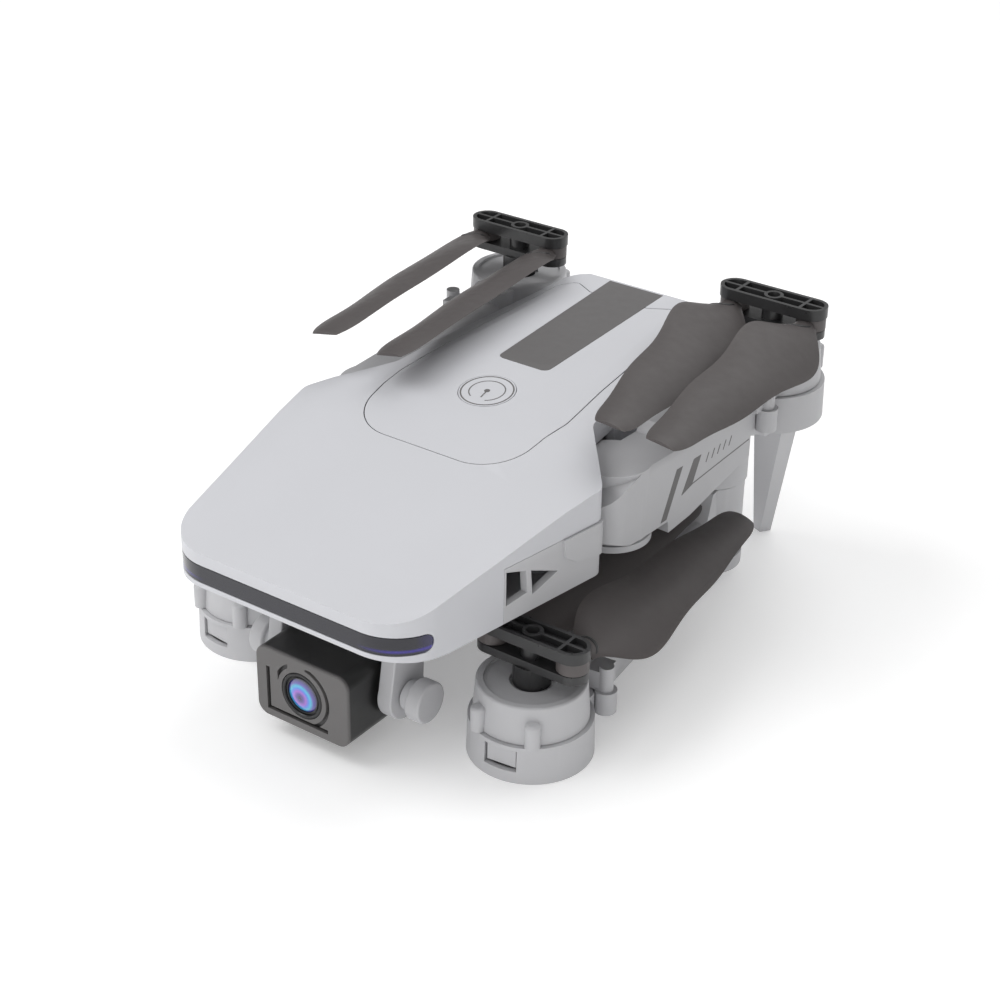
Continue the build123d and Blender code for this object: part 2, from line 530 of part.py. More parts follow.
def hub(top):
    """Rotor hub: ribbed top plate, centre post, blade pins and lower plate; bar along X."""
    z0, z1, z2, z3 = (top + HUB_TOP - HUB_TOP_T - HUB_GAP - HUB_LOW_T, top + HUB_TOP - HUB_TOP_T - HUB_GAP,
                      top + HUB_TOP - HUB_TOP_T, top + HUB_TOP)
    span = 2 * (HUB_BAR_HALF - HUB_BAR_R)
    slot = SlotCenterToCenter(span, 2 * HUB_BAR_R)
    low_slot = SlotCenterToCenter(span, 2 * HUB_BAR_R - 0.5)
    plate = column(slot, z2, z3)
    pocket = column(SlotCenterToCenter(span, 2 * HUB_BAR_R - 1.7), z3 - 1.3, z3 + 1)
    pocket -= disc(2.1, (z2, z3 + 2))
    pocket -= box((-20, 20), (-0.35, 0.35), (z2, z3))
    for x in (-7.6, 7.6):
        pocket -= box((x - 0.35, x + 0.35), (-5, 5), (z2, z3))
    shape = plate - pocket
    shape -= disc(1.35, (z3 - 1.6, z3 + 1))
    shape += column(low_slot, z0, z1)
    shape += disc(2.3, (z1 - 0.1, z2 + 0.1)) + disc(3.8, (top - 0.9, z0 + 0.1))
    for x in (-HUB_PIN_X, HUB_PIN_X):
        shape += disc(HUB_PIN_R, (z1 - 0.1, z2 + 0.1), (x, 0))
    return shape - disc(SHAFT_R, (top - 5, z2 + 0.6))


def blade(span_sign, lean, z):
    """Twisted blade from its pin, along Y by span_sign, leaning outwards by lean degrees."""
    sections = []
    for share, chord, thick, pitch, shift in BLADE_STATIONS:
        place = Pos(shift, span_sign * share * BLADE_LENGTH, z) * Rot(0, pitch, 0)
        camber = 0.045 * chord
        ends = [(-chord / 2, 0, 0), (chord / 2, 0, 0)]
        upper = ThreePointArc(ends[0], (0, 0, camber + thick * 0.6), ends[1])
        lower = ThreePointArc(ends[1], (0, 0, camber - thick * 0.4), ends[0])
        sections.append(place * make_face([upper, lower]))
    shape = loft(sections)
    root = disc(BLADE_ROOT_R, (z - BLADE_ROOT_T / 2, z + BLADE_ROOT_T / 2))
    shape += root
    shape -= disc(HUB_PIN_R + 0.06, (z - 10, z + 10))
    return Rot(0, 0, -span_sign * lean) * shape


def rotor_arm(arm, lean):
    """All the pieces of one left-hand arm, in the drone's frame."""
    (px, py), (qx, qy) = arm["pod"], arm["pivot"]
    length = hypot(qx - px, qy - py)
    angle = degrees(atan2(qy - py, qx - px))
    place = Pos(px, py, 0) * Rot(0, 0, angle)
    outer_sign = 1 if arm is UPPER else -1
    base, top = arm["base"], arm["base"] + POD_H
    pieces = {"arm": place * arm_body(arm, length, outer_sign)}
    cover = place * pod_cover(arm, outer_sign)
    pieces["pod_cover"] = cover + leg(arm) if arm is UPPER else cover
    motor = disc(MOTOR_R, (base + 5.3, base + 14.3), (GEAR_CENTRES, 0))
    pieces["motor"] = place * motor
    pinion = Pos(GEAR_CENTRES, 0, base + GEAR_Z - 0.3) * extrude(gear_face(PINION_TEETH, 0.4, 0.85), PINION_T)
    pinion += disc(0.4, (base + GEAR_Z - 0.3, base + GEAR_Z - 0.3 + PINION_T), (GEAR_CENTRES, 0))
    pieces["pinion"] = place * pinion
    gear = Pos(0, 0, base + GEAR_Z) * extrude(gear_face(GEAR_TEETH, SHAFT_R, 0.75), GEAR_T)
    gear_top = base + GEAR_Z + GEAR_T
    gear += disc(2.2, (gear_top - 0.1, gear_top + 1.4)) - disc(SHAFT_R, (base, base + 12))
    pieces["main_gear"] = place * gear
    pieces["shaft"] = place * disc(SHAFT_R, (base + 1.8, top + HUB_TOP - HUB_TOP_T + 0.4))
    pieces["hub"] = Pos(px, py, 0) * hub(top)
    span_sign = -1 if arm is UPPER else 1
    gap_mid = top + HUB_TOP - HUB_TOP_T - HUB_GAP / 2
    for which, pin_x, blade_lean in (("outer", HUB_PIN_X, lean[0]), ("inner", -HUB_PIN_X, lean[1])):
        pieces["blade_" + which] = Pos(px + pin_x, py, 0) * blade(span_sign, blade_lean, gap_mid)
    at = (BOSS_AT[0], outer_sign * BOSS_AT[1])
    screw = disc(1.5, (base + 3.0, base + 3.4), at)
    pieces["pod_screw"] = place * screw
    return pieces


# ---- assembly -----------------------------------------------------------------------------
parts = {}
for make in (upper_shell, lower_shell, top_panel, power_button, flight_board, power_switch, battery_contacts,
             battery_case, battery_cell, belly_sensor, shell_screws, arm_pivot_pins, camera_bracket,
             camera_housing, camera_cover, camera_knobs, lens_barrel, lens_glass):
    parts[make.__name__] = make()
parts["top_stripe"] = stripe(0)
parts["light_bar"] = light_strip(0, LIGHT_DEPTH)
for arm in (UPPER, LOWER):
    for piece, shape in rotor_arm(arm, arm["blade_lean"]).items():
        parts[f"{arm['name']}_left_{piece}"] = shape
    for piece, shape in rotor_arm(arm, arm["mirror_lean"]).items():
        parts[f"{arm['name']}_right_{piece}"] = mirror(shape, Plane.YZ)

os.makedirs("parts", exist_ok=True)
for name, part in parts.items():
    export_step(part, f"parts/{name}.step")
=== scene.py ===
import json
from math import cos, pi, radians, sin, tan

import bmesh
import bpy
from mathutils import Matrix, Vector
from mathutils.bvhtree import BVHTree


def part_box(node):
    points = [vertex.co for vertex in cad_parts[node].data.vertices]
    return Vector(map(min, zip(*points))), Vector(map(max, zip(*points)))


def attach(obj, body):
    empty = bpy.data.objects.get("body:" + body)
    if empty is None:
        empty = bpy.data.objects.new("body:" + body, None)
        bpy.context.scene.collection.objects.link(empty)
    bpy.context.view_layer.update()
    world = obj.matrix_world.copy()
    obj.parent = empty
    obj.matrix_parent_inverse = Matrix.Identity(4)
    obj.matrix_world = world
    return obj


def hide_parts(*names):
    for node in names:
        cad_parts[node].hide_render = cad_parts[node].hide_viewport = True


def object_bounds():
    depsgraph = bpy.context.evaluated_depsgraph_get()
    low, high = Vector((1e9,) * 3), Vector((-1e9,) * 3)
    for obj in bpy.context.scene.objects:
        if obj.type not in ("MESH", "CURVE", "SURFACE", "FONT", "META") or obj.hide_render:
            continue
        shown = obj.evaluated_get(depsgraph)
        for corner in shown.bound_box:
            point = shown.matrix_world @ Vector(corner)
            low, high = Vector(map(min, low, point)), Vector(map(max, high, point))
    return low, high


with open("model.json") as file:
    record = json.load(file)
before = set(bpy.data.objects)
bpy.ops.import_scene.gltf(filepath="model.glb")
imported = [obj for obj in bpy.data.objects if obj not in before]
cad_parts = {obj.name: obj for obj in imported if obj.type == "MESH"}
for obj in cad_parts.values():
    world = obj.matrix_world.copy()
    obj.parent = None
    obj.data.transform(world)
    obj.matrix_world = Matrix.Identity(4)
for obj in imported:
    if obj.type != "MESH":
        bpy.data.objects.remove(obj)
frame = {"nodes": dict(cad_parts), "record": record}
cad_box = [list(corner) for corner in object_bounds()]
record = frame["record"]
behaviour = record["behaviour"]
SLOT_OF = {part["node"]: part["material_slot"] for part in record["subparts"]}
BODY_OF = {node: body for body, nodes in behaviour["bodies"].items() for node in nodes}
JOINTS = {joint["name"]: joint for joint in behaviour["joints"]}
MM = 0.001
ARMS = [end + "_" + side for end in ("front", "rear") for side in ("left", "right")]


# ---- node helpers -------------------------------------------------------------------------
class Shader:
    """A material's node tree, with short calls for the nodes used here."""

    def __init__(self, name):
        self.material = bpy.data.materials.new(name)
        self.material.use_nodes = True
        self.tree = self.material.node_tree
        self.bsdf = self.tree.nodes["Principled BSDF"]
        self.coords = self.add("ShaderNodeTexCoord").outputs["Object"]

    def add(self, kind, inputs=None, **settings):
        node = self.tree.nodes.new(kind)
        for key, value in settings.items():
            setattr(node, key, value)
        for key, value in (inputs or {}).items():
            self.feed(node.inputs[key], value)
        return node

    def feed(self, socket, value):
        if isinstance(value, bpy.types.NodeSocket):
            self.tree.links.new(value, socket)
        else:
            socket.default_value = value

    def noise(self, scale, detail=3.0, rough=0.5, stretch=(1, 1, 1)):
        place = self.add("ShaderNodeMapping", {"Vector": self.coords, "Scale": stretch})
        node = self.add("ShaderNodeTexNoise", {"Vector": place.outputs[0], "Scale": scale,
                                              "Detail": detail, "Roughness": rough})
        return node.outputs["Fac"]

    def spread(self, fac, low, high, start=0.3, end=0.7):
        node = self.add("ShaderNodeMapRange", {"Value": fac, "From Min": start, "From Max": end,
                                              "To Min": low, "To Max": high})
        return node.outputs[0]

    def mix(self, fac, first, second):
        node = self.add("ShaderNodeMix", data_type="RGBA")
        self.feed(node.inputs[0], fac)
        self.feed(node.inputs[6], first)
        self.feed(node.inputs[7], second)
        return node.outputs[2]

    def maths(self, kind, first, second):
        node = self.add("ShaderNodeMath", operation=kind)
        self.feed(node.inputs[0], first)
        self.feed(node.inputs[1], second)
        return node.outputs[0]

    def bump(self, height, depth, strength=0.5):
        node = self.add("ShaderNodeBump", {"Height": height, "Distance": depth, "Strength": strength})
        self.feed(self.bsdf.inputs["Normal"], node.outputs[0])

    def base(self, colour):
        self.feed(self.bsdf.inputs["Base Color"], colour)

    def rough(self, value):
        self.feed(self.bsdf.inputs["Roughness"], value)


def tone(rgb, factor):
    return tuple(min(1.0, c * factor) for c in rgb) + (1.0,)


CLOUD_SCALE, GLOSS_SCALE, GRAIN_SCALE = 28.0, 420.0, 5200.0   # noise sizes, per metre
GRAIN_STRENGTH = 0.55
EDGE_START, EDGE_END, EDGE_MOST = 0.54, 0.66, 0.55            # where an edge counts as rubbed, and how much
LENS_GLINT = (0.5, 0.7)           # mm that the painted reflection bands sit off the middle, in X and Z
LENS_REFLECTION_R = 4.2                 # mm over which the painted reflection bands spread
# Colours of the coating's painted reflection, from the middle of its bands outwards.
LENS_REFLECTION_BANDS = [(0.0, (0.01, 0.01, 0.03, 1)), (0.22, (0.10, 0.05, 0.35, 1)), (0.36, (0.34, 0.12, 0.62, 1)),
              (0.5, (0.08, 0.22, 0.80, 1)), (0.62, (0.05, 0.50, 0.75, 1)), (0.76, (0.10, 0.08, 0.42, 1)),
              (1.0, (0.01, 0.01, 0.03, 1))]
BLUE_GLOW_SHARPNESS, BLUE_GLOW_CENTRE = 8.0, 1.8              # of the thin line of painted blue light low in the nose bar


def moulded(name, rgb, rough, grain=0.012, patches=0.05, wear=1.15):
    """Moulded plastic: fine spark-eroded grain, faint flow patches and edges rubbed paler."""
    s = Shader(name)
    cloud = s.spread(s.noise(CLOUD_SCALE, 4.0), 0.0, 1.0)
    colour = s.mix(cloud, tone(rgb, 1 - patches), tone(rgb, 1 + patches * 0.5))
    edges = s.add("ShaderNodeNewGeometry").outputs["Pointiness"]
    rubbed = s.spread(edges, 0.0, EDGE_MOST, EDGE_START, EDGE_END)
    s.base(s.mix(rubbed, colour, tone(rgb, wear)))
    s.rough(s.spread(s.noise(GLOSS_SCALE, 3.0), rough - 0.05, rough + 0.06))
    s.bump(s.noise(GRAIN_SCALE, 2.0), grain * MM, GRAIN_STRENGTH)
    return s.material


def camera_painted_light_shell(name, lit_face_rgb, shaded_body_rgb, rough):
    """Satin grey front face on a darker camera body: the face is painted lighter as painted light, and the
    body darker as painted shade on the sides.
    """
    s = Shader(name)
    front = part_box("camera_housing")[0].y
    place = s.add("ShaderNodeSeparateXYZ", {"Vector": s.coords})
    # Mask from the front face back to the body: painted light on the face in front, painted shade on the body
    # behind.
    body = s.spread(place.outputs["Y"], 0, 1, front + 0.5 * MM, front + 0.9 * MM)
    s.base(s.mix(body, tone(lit_face_rgb, 1.0), tone(shaded_body_rgb, 1.0)))
    s.rough(s.spread(s.noise(GLOSS_SCALE, 3.0), rough - 0.05, rough + 0.06))
    s.bump(s.noise(GRAIN_SCALE, 2.0), 0.010 * MM, GRAIN_STRENGTH)
    return s.material


def metal(name, rgb, rough):
    """Drawn metal with fine lengthwise lines."""
    s = Shader(name)
    lines = s.noise(1800.0, 3.0, stretch=(1, 1, 0.04))
    s.base(s.mix(s.spread(lines, 0, 1), tone(rgb, 0.82), tone(rgb, 1.08)))
    s.rough(s.spread(lines, rough - 0.06, rough + 0.1))
    s.bump(lines, 0.006 * MM, 0.4)
    s.bsdf.inputs["Metallic"].default_value = 1.0
    return s.material


def circuit(name):
    """Green solder mask with paler copper runs under it."""
    s = Shader(name)
    runs = s.add("ShaderNodeTexBrick", {"Vector": s.coords, "Scale": 520.0, "Mortar Size": 0.06,
                                        "Color1": (0, 0, 0, 1), "Color2": (0.2, 0.2, 0.2, 1),
                                        "Mortar": (1, 1, 1, 1)})
    s.base(s.mix(runs.outputs["Color"], (0.012, 0.10, 0.035, 1), (0.05, 0.24, 0.10, 1)))
    s.rough(s.spread(s.noise(300.0), 0.28, 0.42))
    s.bump(runs.outputs["Fac"], 0.02 * MM)
    return s.material


def lens_painted_reflection(name):
    """Coated front element with the coating's reflection painted into its colour: violet to cyan bands,
    clearer in the middle.
    """
    s = Shader(name)
    place = s.add("ShaderNodeSeparateXYZ", {"Vector": s.coords})
    lo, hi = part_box("lens_glass")
    centre = (lo + hi) / 2
    dx = s.maths("SUBTRACT", place.outputs["X"], centre.x - LENS_GLINT[0] * MM)
    dz = s.maths("SUBTRACT", place.outputs["Z"], centre.z - LENS_GLINT[1] * MM)
    square = s.maths("ADD", s.maths("MULTIPLY", dx, dx), s.maths("MULTIPLY", dz, dz))
    radius = s.maths("POWER", square, 0.5)
    reflection_ramp = s.add("ShaderNodeValToRGB")
    s.feed(reflection_ramp.inputs[0], s.spread(radius, 0, 1, 0, LENS_REFLECTION_R * MM))
    painted_light_band = reflection_ramp.color_ramp
    while len(painted_light_band.elements) < len(LENS_REFLECTION_BANDS):
        painted_light_band.elements.new(0.5)
    for element, (at, colour) in zip(painted_light_band.elements, LENS_REFLECTION_BANDS):
        element.position = at
        element.color = colour
    s.base(reflection_ramp.outputs[0])
    s.rough(s.spread(s.noise(200.0), 0.04, 0.09))
    s.bsdf.inputs["Coat Weight"].default_value = 1.0
    s.bsdf.inputs["Coat Roughness"].default_value = 0.03
    s.bsdf.inputs["Specular IOR Level"].default_value = 0.8
    return s.material


def smoked_bar_painted_glow(name):
    """Smoked glossy bar, with blue light painted into its colour low down and at its ends."""
    s = Shader(name)
    low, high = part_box("light_bar")
    place = s.add("ShaderNodeSeparateXYZ", {"Vector": s.coords})
    height = s.spread(place.outputs["Z"], 0, 1, low.z, high.z)
    # Painted blue light: a thin line low down that shows towards both ends, and the ends themselves.
    offset = s.maths("SUBTRACT", s.maths("MULTIPLY", height, BLUE_GLOW_SHARPNESS), BLUE_GLOW_CENTRE)
    painted_light_band = s.maths("SUBTRACT", 1.0, s.maths("ABSOLUTE", offset, 0.0))
    outward = s.maths("ABSOLUTE", place.outputs["X"], 0.0)
    corner = s.spread(outward, 0.0, 1.0, high.x * 0.62, high.x * 0.86)
    blue_glow_tail = s.spread(outward, 0.0, 0.22, high.x * 0.95, high.x)
    blue_glow_line = s.maths("MULTIPLY", s.maths("MAXIMUM", painted_light_band, 0.0), corner)
    fac = s.maths("MINIMUM", s.maths("ADD", blue_glow_line, blue_glow_tail), 1.0)
    s.base(s.mix(fac, (0.008, 0.008, 0.016, 1), (0.035, 0.02, 0.30, 1)))
    s.rough(s.spread(s.noise(300.0), 0.16, 0.24))
    s.bsdf.inputs["Coat Weight"].default_value = 0.3
    s.bsdf.inputs["Coat Roughness"].default_value = 0.15
    return s.material


SHELL_RGB = (0.62, 0.625, 0.655)
ARM_RGB = (0.53, 0.53, 0.545)
MATERIALS = {
    "shell": moulded("shell_plastic", SHELL_RGB, 0.42, grain=0.010, patches=0.02, wear=1.06),
    "arm_grey": moulded("arm_plastic", ARM_RGB, 0.50, grain=0.016, patches=0.04, wear=1.1),
    "stripe": moulded("stripe_ink", (0.135, 0.13, 0.13), 0.55, grain=0.012, patches=0.06, wear=1.15),
    "light_bar": smoked_bar_painted_glow("smoked_bar_painted_glow"),
    "board": circuit("board_mask"),
    "black_plastic": moulded("satin_black", (0.012, 0.012, 0.013), 0.36, grain=0.008, patches=0.1),
    "camera_grey": camera_painted_light_shell("camera_painted_light_shell", (0.125, 0.120, 0.119), (0.016, 0.016, 0.016), 0.34),
    "lens": lens_painted_reflection("painted_reflection_lens"),
    "blade": moulded("blade_plastic", (0.078, 0.069, 0.068), 0.46, grain=0.014, patches=0.08, wear=1.5),
    "hub_black": moulded("hub_plastic", (0.030, 0.030, 0.031), 0.32, grain=0.008, patches=0.1, wear=1.8),
    "gear_white": moulded("gear_plastic", (0.78, 0.78, 0.75), 0.4, grain=0.006, patches=0.03),
    "steel": metal("drawn_steel", (0.62, 0.62, 0.64), 0.28),
    "gold": metal("plated_brass", (0.80, 0.62, 0.28), 0.30),
    "cell": moulded("cell_foil", (0.16, 0.27, 0.42), 0.30, grain=0.03, patches=0.12),
}
for node, obj in frame["nodes"].items():
    obj.data.materials.clear()
    obj.data.materials.append(MATERIALS[SLOT_OF[node]])


# ---- mesh helpers -------------------------------------------------------------------------
def finish_piece(obj, node_or_body, slot, replaced=(), smooth=40.0):
    """Material, shading, body and slot of a new piece."""
    obj.data.materials.clear()
    obj.data.materials.append(MATERIALS[slot])
    with bpy.context.temp_override(object=obj, active_object=obj, selected_objects=[obj],
                                   selected_editable_objects=[obj]):
        bpy.ops.object.shade_smooth_by_angle(angle=radians(smooth))
    weighted = obj.modifiers.new("flat_faces", "WEIGHTED_NORMAL")
    weighted.keep_sharp = True
    weighted.weight = 90
    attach(obj, BODY_OF.get(node_or_body, node_or_body))
    if replaced:
        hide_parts(*replaced)
    return obj


def object_from(bm, name):
    bmesh.ops.recalc_face_normals(bm, faces=bm.faces)
    mesh = bpy.data.meshes.new(name)
    bm.to_mesh(mesh)
    bm.free()
    obj = bpy.data.objects.new(name, mesh)
    bpy.context.scene.collection.objects.link(obj)
    return obj


def apply_modifiers(obj):
    bpy.context.view_layer.update()
    evaluated = obj.evaluated_get(bpy.context.evaluated_depsgraph_get())
    mesh = bpy.data.meshes.new_from_object(evaluated)
    obj.modifiers.clear()
    obj.data = mesh


WELD_GAP, FLAT_ANGLE = 0.002, 1.0      # mm and degrees: what counts as one point, and as one flat face
BEVEL_ANGLE, BEVEL_SEGMENTS = 32.0, 2


def softened(node, width):
    """Copy of a CAD node with its sharp edges rounded, standing for that node."""
    bm = bmesh.new()
    bm.from_mesh(frame["nodes"][node].data)
    bmesh.ops.remove_doubles(bm, verts=bm.verts, dist=WELD_GAP * MM)
    bmesh.ops.dissolve_limit(bm, angle_limit=radians(FLAT_ANGLE), verts=bm.verts, edges=bm.edges)
    obj = object_from(bm, node + "_skin")
    rounding = obj.modifiers.new("rounding", "BEVEL")
    rounding.width = width * MM
    rounding.segments = BEVEL_SEGMENTS
    rounding.limit_method = "ANGLE"
    rounding.angle_limit = radians(BEVEL_ANGLE)
    rounding.harden_normals = False
    apply_modifiers(obj)
    return finish_piece(obj, node, SLOT_OF[node], (node,), 35.0)


# Edge rounding of the pieces that show, in millimetres.
ROUNDING = {"upper_shell": 0.8, "top_panel": 0.16, "lower_shell": 0.3, "battery_case": 0.2,
            "camera_housing": 0.22, "camera_bracket": 0.35, "camera_knobs": 0.25, "belly_sensor": 0.2,
            "light_bar": 0.3}
for arm in ARMS:
    ROUNDING[arm + "_arm"] = 0.35
    ROUNDING[arm + "_pod_cover"] = 0.3
    ROUNDING[arm + "_hub"] = 0.16
for node, width in ROUNDING.items():
    softened(node, width)


# ---- surface decals and inlays --------------------------------------------------------------
CAST_FROM = 0.2                        # m: rays start this far out, clear of the whole drone


def surface(*nodes):
    """Ray-casting tree over some CAD nodes."""
    points, faces = [], []
    for node in nodes:
        mesh = frame["nodes"][node].data
        start = len(points)
        points += [v.co.copy() for v in mesh.vertices]
        faces += [[start + i for i in face.vertices] for face in mesh.polygons]
    return BVHTree.FromPolygons(points, faces)


def cast_down(tree, x, y):
    """Point and normal of the topmost surface at a plan position in millimetres."""
    hit, normal, _, _ = tree.ray_cast(Vector((x * MM, y * MM, CAST_FROM)), Vector((0, 0, -1)))
    return hit, normal


def cast_in(tree, side, y, z):
    """Point and normal of the outermost surface on one side at (y, z) in millimetres."""
    hit, normal, _, _ = tree.ray_cast(Vector((side * CAST_FROM, y * MM, z * MM)), Vector((-side, 0, 0)))
    return hit, normal


def ribbon(bm, samples, half, rise=0.02, sink=0.08, closed=False):
    """Thin flat band along sampled (point, normal) pairs; half may change along it."""
    halves = half if isinstance(half, list) else [half] * len(samples)
    rings = []
    count = len(samples)
    for i, ((point, normal), h) in enumerate(zip(samples, halves)):
        before = samples[(i - 1) % count][0] if closed or i else point
        after = samples[(i + 1) % count][0] if closed or i < count - 1 else point
        side = (after - before).cross(normal).normalized() * h * MM
        top, low = normal * rise * MM, normal * -sink * MM
        rings.append([bm.verts.new(point + d) for d in (side + top, -side + top, -side + low, side + low)])
    for i in range(count if closed else count - 1):
        a, b = rings[i], rings[(i + 1) % count]
        for k in range(4):
            bm.faces.new((a[k], a[(k + 1) % 4], b[(k + 1) % 4], b[k]))
    if not closed:
        bm.faces.new(rings[0])
        bm.faces.new(rings[-1][::-1])


def patch(bm, samples, rise=0.02, sink=0.08):
    """Thin filled shape with a sampled outline."""
    tops = [bm.verts.new(p + n * rise * MM) for p, n in samples]
    lows = [bm.verts.new(p - n * sink * MM) for p, n in samples]
    bm.faces.new(tops)
    bm.faces.new(lows[::-1])
    count = len(samples)
    for i in range(count):
        j = (i + 1) % count
        bm.faces.new((tops[i], lows[i], lows[j], tops[j]))


def arc_points(centre, radius, start, end, count):
    steps = [radians(start + (end - start) * i / (count - 1)) for i in range(count)]
    return [(centre[0] + radius * cos(t), centre[1] + radius * sin(t)) for t in steps]


ICON_RING_R, ICON_ARC_R, ICON_DOT_R = 5.45, 3.75, 0.62
ICON_ARC = (-62, 242)                  # degrees: the inner ring's gap is on its lower left
ICON_RING_HALF, ICON_ARC_HALF = 0.16, 0.13
ICON_HAND_STEP, ICON_HAND_STEPS = (0.06, -0.45), 6


def power_icon():
    """Ring, gapped inner ring, dot and hand of a plain power sign, printed on the button."""
    low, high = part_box("power_button")
    centre = ((low.x + high.x) / 2 / MM, (low.y + high.y) / 2 / MM)
    tree = surface("power_button", "top_panel")

    def down(points):
        return [cast_down(tree, x, y) for x, y in points]

    bm = bmesh.new()
    ribbon(bm, down(arc_points(centre, ICON_RING_R, 0, 352.5, 48)), ICON_RING_HALF, closed=True)
    ribbon(bm, down(arc_points(centre, ICON_ARC_R, *ICON_ARC, 40)), ICON_ARC_HALF)
    patch(bm, down(arc_points(centre, ICON_DOT_R, 0, 340, 18)))
    step_x, step_y = ICON_HAND_STEP
    hand = [(centre[0] + step_x * t, centre[1] + step_y * t) for t in range(1, ICON_HAND_STEPS + 1)]
    ribbon(bm, down(hand), ICON_RING_HALF)
    finish_piece(object_from(bm, "power_icon"), "power_button", "stripe")


def rounded_path(corners, step=5):
    """Closed plan path of a symmetric outline given by its +X corners as (x, y, radius)."""
    full = corners + [(-x, y, r) for x, y, r in reversed(corners)]
    path = []
    for i, (x, y, r) in enumerate(full):
        here = Vector((x, y))
        back = (Vector(full[i - 1][:2]) - here).normalized()
        ahead = (Vector(full[(i + 1) % len(full)][:2]) - here).normalized()
        half = back.angle(ahead) / 2
        middle = here + (back + ahead).normalized() * r / sin(half)
        start, end = here + back * r / tan(half), here + ahead * r / tan(half)
        sweep = (start - middle).angle_signed(end - middle)
        for k in range(step + 1):
            offset = (start - middle).copy()
            offset.rotate(Matrix.Rotation(-sweep * k / step, 2))
            path.append(middle + offset)
    return path


def densified(path, gap):
    """The closed path with extra points, so that it follows a curved surface."""
    points = []
    for i, here in enumerate(path):
        there = path[(i + 1) % len(path)]
        steps = max(1, round((there - here).length / gap))
        points += [here.lerp(there, k / steps) for k in range(steps)]
    return points


# The lid panel's plan outline: its +X corners as (x, y, radius), and half of the gap round it.
LID_CORNERS = [(18.9, -25.3, 10.5), (20.7, -5.0, 12.0), (16.3, 46.0, 2.0), (12.0, 48.0, 1.0),
               (7.5, 45.6, 1.0)]
LID_GAP_HALF, LID_PROBE, LID_STEP = 0.11, 0.6, 1.5


def lid_groove():
    """Shaded bottom of the gap between the lid panel and the shell."""
    tree = surface("top_panel", "upper_shell", "top_stripe")
    grown = []
    for x, y, r in LID_CORNERS:
        outward = -LID_GAP_HALF if y < 0 else LID_GAP_HALF
        grown.append((x + LID_GAP_HALF, y + outward, r))
    points = densified(rounded_path(grown), LID_STEP)
    samples = []
    for i, p in enumerate(points):
        ahead, back = points[(i + 1) % len(points)], points[i - 1]
        across = Vector((ahead.y - back.y, back.x - ahead.x)).normalized() * LID_PROBE
        sides = [cast_down(tree, p.x + s * across.x, p.y + s * across.y) for s in (-1, 1)]
        samples.append(((sides[0][0] + sides[1][0]) / 2, (sides[0][1] + sides[1][1]).normalized()))
    bm = bmesh.new()
    ribbon(bm, samples, 0.125, rise=-0.12, sink=0.3, closed=True)
    finish_piece(object_from(bm, "lid_groove_shadow"), "hull", "light_bar")


# Marks on a front arm's outer face, as (y, z) in the drone's frame.
ARM_BARS = [[(3.9, 32.8), (6.0, 32.8), (10.9, 43.2), (8.7, 43.2)],
            [(11.0, 36.4), (14.9, 37.7), (17.5, 43.2), (14.8, 43.2)]]
ARM_LINE = [(11.0, 36.4), (14.9, 37.5), (24.0, 38.4), (35.8, 39.5)]
TICKS, TICK_FIRST, TICK_PITCH, TICK_LEAN = 5, 19.4, 2.1, 0.9
TICK_Z, TICK_CLIMB = (40.6, 42.6), 0.12


def arm_marks(side, arm):
    """Slanted bars, a fine line and plain ticks printed on a front arm's outer face."""
    tree = surface(arm + "_arm")

    def onto(points):
        return [cast_in(tree, side, y, z) for y, z in points]

    bm = bmesh.new()
    for bar in ARM_BARS:
        patch(bm, onto(bar))
    ribbon(bm, onto(ARM_LINE), 0.14)
    for k in range(TICKS):
        y, climb = TICK_FIRST + TICK_PITCH * k, TICK_CLIMB * k
        ribbon(bm, onto([(y, TICK_Z[0] + climb), (y + TICK_LEAN, TICK_Z[1] + climb)]), 0.17)
    finish_piece(object_from(bm, arm + "_marks"), arm + "_arm", "stripe")


# Plan path of the ridge from a blade's hub pin: (across, along the blade) in millimetres.
RIB_PATH = [(-3.6, 5.6), (-2.6, 7.0), (-0.6, 7.2), (1.8, 6.0), (2.4, 4.2)]
BLADE_REACH = 30                       # mm: a blade runs further than this past its pin, on one side only


def blade_ribs(arm):
    """Raised hooked ridge where each blade leaves its hub pin."""
    for which in ("outer", "inner"):
        node = f"{arm}_blade_{which}"
        joint = JOINTS[f"{node}_open"]
        pin = Vector(joint["pos_m"]) / MM
        _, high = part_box(node)
        lengthwise = 1 if (high.y / MM - pin.y) > BLADE_REACH else -1
        tree = surface(node)
        samples = [cast_down(tree, pin.x + x, pin.y + lengthwise * y) for x, y in RIB_PATH]
        samples = [s for s in samples if s[0] is not None]
        if len(samples) > 2:
            bm = bmesh.new()
            halves = [0.2 + 0.25 * sin(pi * i / (len(samples) - 1)) for i in range(len(samples))]
            ribbon(bm, samples, halves, rise=0.32, sink=0.3)
            rib = object_from(bm, node + "_rib")
            subdivide = rib.modifiers.new("soft", "SUBSURF")
            subdivide.levels = 2
            apply_modifiers(rib)
            finish_piece(rib, node, "hub_black")


def revolved(name, profile, centre, axis, segments=64):
    """Closed ring from (radius, depth) points turned round an axis, depths along it."""
    bm = bmesh.new()
    turn = Vector((0, 0, 1)).rotation_difference(Vector(axis)).to_matrix()
    rings = []
    for k in range(segments):
        angle = 2 * pi * k / segments
        rings.append([bm.verts.new(Vector(centre) + turn @ Vector((r * cos(angle), r * sin(angle), d)) * MM)
                      for r, d in profile])
    for k in range(segments):
        here, there = rings[k], rings[(k + 1) % segments]
        for i in range(len(profile)):
            j = (i + 1) % len(profile)
            bm.faces.new((here[i], there[i], there[j], here[j]))
    return object_from(bm, name)


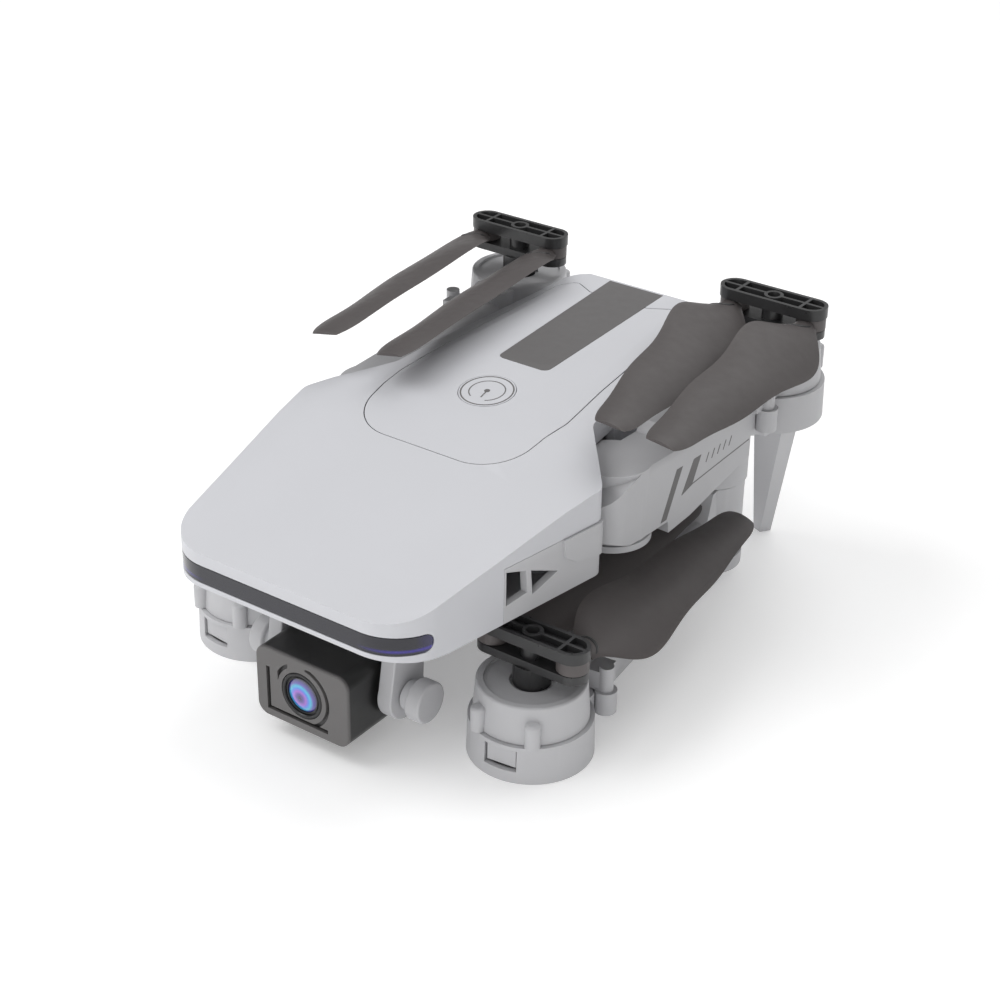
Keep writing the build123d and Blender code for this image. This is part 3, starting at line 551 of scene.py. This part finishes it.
# Lens profiles as (radius, distance out of the barrel's mouth) in millimetres.
LENS_RINGS = [(4.95, -0.3), (4.95, 0.32), (4.75, 0.5), (4.35, 0.5), (4.2, 0.3), (4.2, 0.0), (3.95, 0.0),
              (3.95, 0.22), (3.8, 0.3), (3.66, 0.22), (3.66, -0.6)]
LENS_DOME = [(0.02, -0.5), (3.65, -0.5), (3.65, -0.12), (3.2, 0.06), (2.4, 0.24), (1.4, 0.36), (0.5, 0.4),
             (0.02, 0.4)]


def lens_pieces():
    """Stepped rings and a domed, coated front element in the camera's lens barrel."""
    low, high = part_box("lens_barrel")
    centre = Vector(((low.x + high.x) / 2, low.y, (low.z + high.z) / 2))
    out = (0, -1, 0)
    finish_piece(revolved("lens_rings", LENS_RINGS, centre, out), "camera", "black_plastic", smooth=30.0)
    glass = revolved("front_element", LENS_DOME, centre, out)
    finish_piece(glass, "camera", "lens", ("lens_glass",), smooth=60.0)


power_icon()
lid_groove()
lens_pieces()
for side, arm in ((1, "front_left"), (-1, "front_right")):
    arm_marks(side, arm)
for arm in ARMS:
    blade_ribs(arm)


# ---- studio -------------------------------------------------------------------------------
FLOOR_HALF, FLOOR_GLOW = 6.0, 0.22     # m, and the little light the paper gives off itself
SKY_FRONT, SKY_SIDES = 0.76, 0.24      # sky strength ahead and behind, and out to the left and right
LAMPS = [("key", (-0.45, -0.30, 0.70), 0.50, 2.9), ("top", (0.05, 0.40, 0.80), 0.6, 1.7),
         ("front", (0.30, -0.80, 0.30), 0.5, 0.9)]   # name, place in m, size in m, watts


def studio():
    """Pale floor sheet, a sky that dims towards both sides, and soft square lamps."""
    bm = bmesh.new()
    corners = [(-FLOOR_HALF, -FLOOR_HALF), (FLOOR_HALF, -FLOOR_HALF), (FLOOR_HALF, FLOOR_HALF),
               (-FLOOR_HALF, FLOOR_HALF)]
    bm.faces.new([bm.verts.new((x, y, 0)) for x, y in corners])
    floor = object_from(bm, "floor")
    s = Shader("floor_paper")
    s.base(s.mix(s.noise(3.0), (0.955, 0.955, 0.955, 1), (0.975, 0.975, 0.975, 1)))
    s.rough(0.9)
    s.bsdf.inputs["Emission Color"].default_value = (1, 1, 1, 1)
    s.bsdf.inputs["Emission Strength"].default_value = FLOOR_GLOW
    floor.data.materials.append(s.material)

    world = bpy.data.worlds.new("studio")
    bpy.context.scene.world = world
    world.use_nodes = True
    tree = world.node_tree
    background = tree.nodes["Background"]
    background.inputs["Color"].default_value = (1, 1, 1, 1)
    direction = tree.nodes.new("ShaderNodeTexCoord")
    axes = tree.nodes.new("ShaderNodeSeparateXYZ")
    sideways = tree.nodes.new("ShaderNodeMath")
    sideways.operation = "ABSOLUTE"
    dimmed = tree.nodes.new("ShaderNodeMapRange")
    for socket, value in (("From Min", 0.1), ("From Max", 0.8), ("To Min", SKY_FRONT), ("To Max", SKY_SIDES)):
        dimmed.inputs[socket].default_value = value
    tree.links.new(direction.outputs["Generated"], axes.inputs[0])
    tree.links.new(axes.outputs["X"], sideways.inputs[0])
    tree.links.new(sideways.outputs[0], dimmed.inputs["Value"])
    tree.links.new(dimmed.outputs[0], background.inputs["Strength"])
    for name, at, size, power in LAMPS:
        data = bpy.data.lights.new(name, "AREA")
        data.shape = "SQUARE"
        data.size = size
        data.energy = power
        lamp = bpy.data.objects.new(name, data)
        bpy.context.scene.collection.objects.link(lamp)
        lamp.location = at
        lamp.rotation_euler = Vector(at).to_track_quat("Z", "Y").to_euler()


VIEW = dict(azimuth=35.35, elevation=28.97, roll=0.84, distance=434.0, offset=(0.13, 2.15, -5.54))
SENSOR, LENS = 36.0, 73.8


def camera(azimuth, elevation, roll, distance, offset):
    """Camera aimed near the object's middle: degrees round from the nose, and millimetres."""
    low, high = (Vector(corner) for corner in cad_box)
    target = (low + high) / 2 + Vector(offset) * MM
    az, el, tilt = radians(azimuth), radians(elevation), radians(roll)
    back = Vector((sin(az) * cos(el), -cos(az) * cos(el), sin(el)))
    right = (-back).cross(Vector((0, 0, 1))).normalized()
    up = right.cross(-back)
    side = right * cos(tilt) + up * sin(tilt)
    top = up * cos(tilt) - right * sin(tilt)
    data = bpy.data.cameras.new("camera")
    data.sensor_width = SENSOR
    data.lens = LENS
    data.clip_start = 0.01
    obj = bpy.data.objects.new("camera", data)
    bpy.context.scene.collection.objects.link(obj)
    basis = Matrix((side, top, back)).transposed().to_4x4()
    obj.matrix_world = Matrix.Translation(target + back * distance * MM) @ basis
    bpy.context.scene.camera = obj


studio()
camera(**VIEW)
bpy.context.scene.view_settings.view_transform = "Standard"
